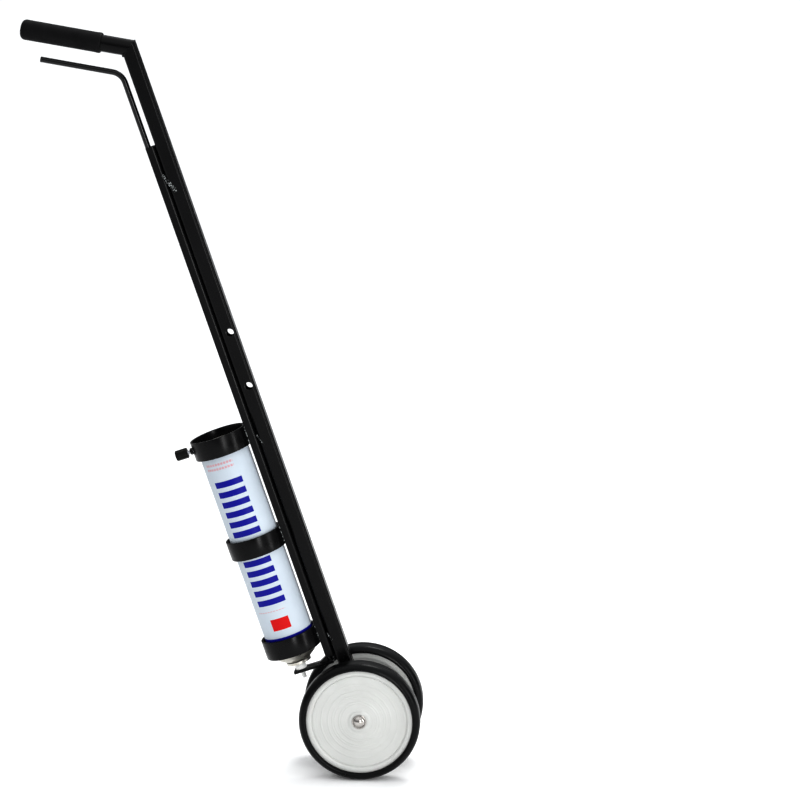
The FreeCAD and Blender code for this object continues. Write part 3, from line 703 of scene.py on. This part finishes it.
bowl = seam_radius - 1.4 * MM
bowl_depth = 9.0 * MM - shell
rim_level = seam_top - seam_height
base_outline = [(seam_radius - 1.6 * MM, rim_level), (seam_radius, rim_level)]
base_outline += [(seam_radius, seam_top - 0.6 * MM), (seam_radius - roll_in, seam_top)]
base_outline += [(seam_radius - 1.2 * MM, seam_top - 0.4 * MM), (bowl, seam_top - 2.4 * MM)]
bowl_points = [(share, 1 - share ** 2) for share in (0.92, 0.8, 0.65, 0.5, 0.35, 0.18, 0.0)]
base_outline += [(bowl * share, rim_level - bowl_depth * drop + shell) for share, drop in bowl_points]
base_outline += [(bowl * share, rim_level - bowl_depth * drop) for share, drop in reversed(bowl_points)]
base_outline += [base_outline[0]]
base = soften(turned("can_base_detail", base_outline, 128), 0, sharper_than=40)
stand_in_for(set_down(base, can_axis), "can_base")
print(f"aerosol: {(seam_top - seam_low) / MM:.0f} mm from seam to neck")

# %% [markdown]
# ## Spray head
# The spray head is a white button on the valve, with a nozzle that points down through the plate.
# The CAD outline is right, but its edges are sharp; the moulded one has soft edges and a small rib
# round its skirt.

# %% Turn the spray head
head_low, head_high = stem_box("spray_actuator")
head_radius = (head_high.y - head_low.y) / 2
skirt, shoulder_level = 79.9 * MM, 84.4 * MM
stem_hole, channel_radius = 1.8 * MM, 0.6 * MM
hole_floor, nozzle_seat, seat_radius = 84.0 * MM, 72.5 * MM, 2.2 * MM
head_outline = [(seat_radius, head_low.z), (3.0 * MM, head_low.z), (3.0 * MM, skirt)]
head_outline += [(head_radius - 0.3 * MM, skirt), (head_radius, skirt + 0.4 * MM)]
head_outline += [(head_radius, skirt + 1.3 * MM), (head_radius - 0.4 * MM, skirt + 1.7 * MM)]
head_outline += [(head_radius - 0.4 * MM, shoulder_level), (6.2 * MM, head_high.z), (stem_hole, head_high.z)]
head_outline += [(stem_hole, hole_floor), (channel_radius, hole_floor), (channel_radius, nozzle_seat)]
head_outline += [(seat_radius, nozzle_seat), head_outline[0]]
head = soften(turned("spray_head_detail", head_outline, 64), 0.25 * MM, 2, 40)
stand_in_for(set_down(head, can_axis), "spray_actuator")
print(f"spray head: {2 * head_radius / MM:.0f} mm across")

# %% [markdown]
# ## Clamp screw and knob
# A thumb screw in the top ring stops the aerosol from dropping out. The thread is a row of fine
# ridges on the lathe outline, which at this size looks the same as a true helix. The knob is a round
# bar with eight shallow flutes: the upright edges that lie in a flute are pushed inwards, and a
# bevel rounds what is still sharp.

# %% Make the screw and knob
clamp = joints["clamp_turn"]
outward = Vector(clamp["axis"]).normalized()
knob_foot = Vector(clamp["pos_m"])
on_clamp = Matrix.Translation(knob_foot) @ outward.to_track_quat("Z", "Y").to_matrix().to_4x4()


def reach(node, place):
    """How far a CAD part reaches along and round an axis: lowest and highest point, and radius."""
    points = [place.inverted() @ vertex.co for vertex in frame["nodes"][node].data.vertices]
    return min(p.z for p in points), max(p.z for p in points), max(math.hypot(p.x, p.y) for p in points)


screw_low, screw_high, screw_radius = reach("clamp_screw", on_clamp)
thread_pitch, thread_depth = 0.8 * MM, 0.42 * MM
screw_outline = [(0, screw_low), (screw_radius - thread_depth, screw_low)]
ridge_count = int((screw_high - screw_low) / thread_pitch)
for k in range(ridge_count):
    foot = screw_low + k * thread_pitch
    screw_outline += [(screw_radius - thread_depth, foot + 0.1 * MM), (screw_radius, foot + thread_pitch / 2)]
screw_outline += [(screw_radius - thread_depth, screw_high), (0, screw_high)]
screw = soften(turned("clamp_screw_detail", screw_outline, 24), 0, sharper_than=20)
stand_in_for(set_down(screw, on_clamp), "clamp_screw")

knob_low, knob_high, knob_radius = reach("clamp_knob", on_clamp)
flutes, sides_per_flute = 8, 8
flute_from, flute_to, flute_waist = 15, 30, 0.9
knob_middle = (knob_low + knob_high) / 2
alone()
bpy.ops.mesh.primitive_cylinder_add(
    vertices=flutes * sides_per_flute,
    radius=knob_radius,
    depth=knob_high - knob_low,
    location=(0, 0, knob_middle),
)
knob = bpy.context.object
knob.name = "clamp_knob_detail"
bpy.ops.object.mode_set(mode="EDIT")
bpy.ops.mesh.select_all(action="DESELECT")
knob_mesh = bmesh.from_edit_mesh(knob.data)
for vertex in knob_mesh.verts:
    turn = math.degrees(math.atan2(vertex.co.y, vertex.co.x)) % (360 / flutes)
    vertex.select = flute_from < turn < flute_to
knob_mesh.select_flush_mode()
bmesh.update_edit_mesh(knob.data)
bpy.ops.transform.resize(value=(flute_waist, flute_waist, 1), center_override=(0, 0, 0))
bpy.ops.object.mode_set(mode="OBJECT")
soften(knob, 0.7 * MM, 3, 50)
stand_in_for(set_down(knob, on_clamp), "clamp_knob")
print(f"screw ridges: {ridge_count}, knob {2 * knob_radius / MM:.1f} mm across with {flutes} flutes")

# %% [markdown]
# ## Grip
# The grip is a dull black sleeve pushed over the end of the round handle, closed and rounded at its
# free end, with a slightly thicker lip where the hand's edge rests. Its line is the mount that the
# record calls grip.

# %% Turn the grip
grip_mount = next(mount for mount in frame["record"]["mounts"] if mount["name"] == "grip")
grip_line = Vector(grip_mount["axis"]).normalized()
on_grip = Matrix.Translation(grip_mount["pos_m"]) @ grip_line.to_track_quat("Z", "Y").to_matrix().to_4x4()
grip_low, grip_high, grip_radius = reach("grip", on_grip)
bore = (stem_box("handle_tube")[1].y - stem_box("handle_tube")[0].y) / 2
end_round, dimple, end_wall = 6.5 * MM, 0.6 * MM, 4.8 * MM
grip_outline = [(bore, grip_low), (grip_radius - 1.2 * MM, grip_low)]
grip_outline += [(grip_radius - 0.2 * MM, grip_low + 0.9 * MM)]
grip_outline += [(grip_radius, grip_low + 2.2 * MM), (grip_radius, grip_low + 5.0 * MM)]
grip_outline += [(grip_radius - 0.25 * MM, grip_low + 7.0 * MM)]
grip_outline += [(grip_radius - 0.15 * MM, grip_high - 12 * MM)]
grip_outline += arc((grip_radius - end_round, grip_high - end_round), end_round - 0.1 * MM, 0, 88, 10)
grip_outline += [(2.2 * MM, grip_high), (1.6 * MM, grip_high - dimple), (0, grip_high - dimple)]
grip_outline += [(0, grip_high - end_wall), (bore, grip_high - end_wall), grip_outline[0]]
grip = soften(turned("grip_detail", grip_outline, 96), 0, sharper_than=50)
stand_in_for(set_down(grip, on_grip), "grip")
print(f"grip: {(grip_high - grip_low) / MM:.0f} mm long, {2 * grip_radius / MM:.0f} mm across")

# %% [markdown]
# ## Edges of the flat parts
# The spray plate and the nut are right in the CAD but have razor edges. A copy of each CAD mesh is
# merged into one skin and bevelled, so that its edges catch the light.

# %% Soften the flat parts
def softened_copy(node, width):
    """A bevelled copy of a CAD part, which replaces it."""
    alone()
    piece = frame["nodes"][node].copy()
    piece.data = piece.data.copy()
    piece.name = f"{node}_detail"
    piece.parent = None
    bpy.context.scene.collection.objects.link(piece)
    piece.select_set(True)
    bpy.context.view_layer.objects.active = piece
    bpy.ops.object.mode_set(mode="EDIT")
    bpy.ops.mesh.select_all(action="SELECT")
    bpy.ops.mesh.remove_doubles(threshold=MM / 100)
    bpy.ops.mesh.dissolve_limited(angle_limit=math.radians(1))
    bpy.ops.object.mode_set(mode="OBJECT")
    soften(piece, width)
    return stand_in_for(piece, node)


softened_copy("spray_plate", 0.5 * MM)
softened_copy("clamp_nut", 0.35 * MM)
print("softened the spray plate and the nut")

# %% [markdown]
# ## Valve spring
# The spring inside the valve is shorter when the spray head is pressed. Here it is a merged copy
# of the CAD spring that replaces it, with a mesh of its own.

# %% Copy the valve spring
spring = softened_copy("valve_spring", 0)
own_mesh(spring)

# %% [markdown]
# ## Welds
# The frame is welded, and the welds show: a bright dressed patch where the channel meets the stem
# near its top, small stitches at the rings, a bead round the mitre at the handle, and a fillet where
# the rod meets its plate. A bead is a row of overlapping ripples. Each ripple is a squashed sphere,
# a voxel remesh fuses the row, and a smooth modifier lets the ripples run into each other.

# %% Lay the welds
def weld(name, ripples, voxel, body="frame", finish=powder, place=on_stem):
    """Fuse ripples of (centre, radii), in millimetres, into one bead and set it down."""
    lumps = []
    for centre, radii in ripples:
        alone()
        spot = Vector(centre) * MM
        bpy.ops.mesh.primitive_uv_sphere_add(segments=16, ring_count=10, radius=MM, location=spot)
        lump = bpy.context.object
        lump.scale = radii
        lumps.append(lump)
    alone()
    for lump in lumps:
        lump.select_set(True)
    bpy.context.view_layer.objects.active = lumps[0]
    bpy.ops.object.join()
    bead = bpy.context.object
    bead.name = name
    bpy.ops.object.transform_apply(location=True, rotation=True, scale=True)
    fuse = bead.modifiers.new("fuse", "REMESH")
    fuse.mode = "VOXEL"
    fuse.voxel_size = voxel * MM
    bpy.ops.object.modifier_apply(modifier="fuse")
    settle = bead.modifiers.new("settle", "SMOOTH")
    settle.iterations = 3
    bpy.ops.object.modifier_apply(modifier="settle")
    bpy.ops.object.shade_smooth()
    bead.data.materials.clear()
    bead.data.materials.append(finish)
    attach(set_down(bead, place), body)


def row(start, end, count, radii):
    """Evenly spaced ripples from one point to another."""
    first, last = Vector(start), Vector(end)
    return [(first.lerp(last, k / (count - 1)), radii) for k in range(count)]


tube_front = stem_box("stem_tube")[0].x / MM
tube_face = stem_box("stem_tube")[0].y / MM
channel_face = stem_box("guide_channel")[0].y / MM
# The stitches use the weld finish. Its bright specks are dressed metal on the top patch and painted glints on the
# small stitches.
for hand, side in (("right", 1), ("left", -1)):
    over_corner = (tube_front + 1.0, side * (tube_face - 0.2), 745)
    patch = row((tube_front - 3.5, side * channel_face, 755), over_corner, 6, (2.2, 1.2, 2.6))
    patch += row(over_corner, (tube_front + 6.0, side * tube_face, 733), 8, (2.8, 0.6, 3.0))
    weld(f"top_stitch_{hand}", patch, 0.35, finish=bare_weld)
    for level, label in ((393, "upper"), (112, "lower")):
        start = (tube_front - 1.0, side * (channel_face + 0.2), level + 5)
        stitch = row(start, (tube_front + 3.0, side * (tube_face + 0.1), level - 5), 6, (1.3, 1.0, 1.5))
        weld(f"{label}_stitch_{hand}", stitch, 0.35, finish=bare_weld)
print("stitches laid on both sides")

# %% [markdown]
# ## More welds
# Each ring is welded to the channel along both of its edges. The handle's round tube meets the
# square stem at a slant, so the bead round the mitre follows a rounded square: the cosine and sine
# of a circle, with their signs kept and a square root taken of their sizes, give one. The last ring
# of ripples joins the foot of the rod to its plate, so it moves with the trigger.

# %% Weld the rings, the mitre and the plate
channel_lip = stem_box("guide_channel")[0].x / MM
# The ring welds' bright specks are painted glints, standing in for highlights on glossy weld paint.
for node in ("top_ring", "middle_ring", "bottom_ring"):
    ring_low, ring_high = stem_box(node)
    span = (ring_low.z / MM + 2, ring_high.z / MM - 2)
    for hand, side in (("right", 1), ("left", -1)):
        edge = side * (channel_face + 0.5)
        seat = channel_lip - 0.6
        bead = row((seat, edge, span[0]), (seat, edge, span[1]), 11, (1.3, 1.1, 1.5))
        weld(f"{node}_weld_{hand}", bead, 0.35, finish=bare_weld)

inside_corner, outside_corner = (tube_front, 913.8), (-tube_front + 3.4, 927.8)
mitre_ripples, mitre_half_width, mitre_half_length = 64, 9.5, 0.49
mitre = []
for k in range(mitre_ripples):
    turn = math.tau * k / mitre_ripples
    over, along = math.cos(turn), math.sin(turn)
    share = 0.5 + mitre_half_length * math.copysign(abs(along) ** 0.5, along)
    place = [near + share * (far - near) for near, far in zip(inside_corner, outside_corner)]
    width = mitre_half_width * math.copysign(abs(over) ** 0.5, over)
    mitre.append(((place[0], width, place[1]), (0.9, 0.9, 0.9)))
weld("mitre_weld", mitre, 0.35)
corner_x, corner_z = inside_corner[0] - 0.3, inside_corner[1]
fillet = row((corner_x, -6, corner_z), (corner_x, 6, corner_z), 9, (1.7, 1.5, 1.7))
weld("inner_corner_weld", fillet, 0.35)

foot_ripples, foot_radius, foot_x, foot_z = 16, 3.7, -16.9, 79.6
foot = []
for k in range(foot_ripples):
    turn = math.tau * k / foot_ripples
    centre = (foot_x + foot_radius * math.cos(turn), foot_radius * math.sin(turn), foot_z)
    foot.append((centre, (0.9, 0.9, 0.8)))
weld("rod_foot_weld", foot, 0.3, body="trigger")
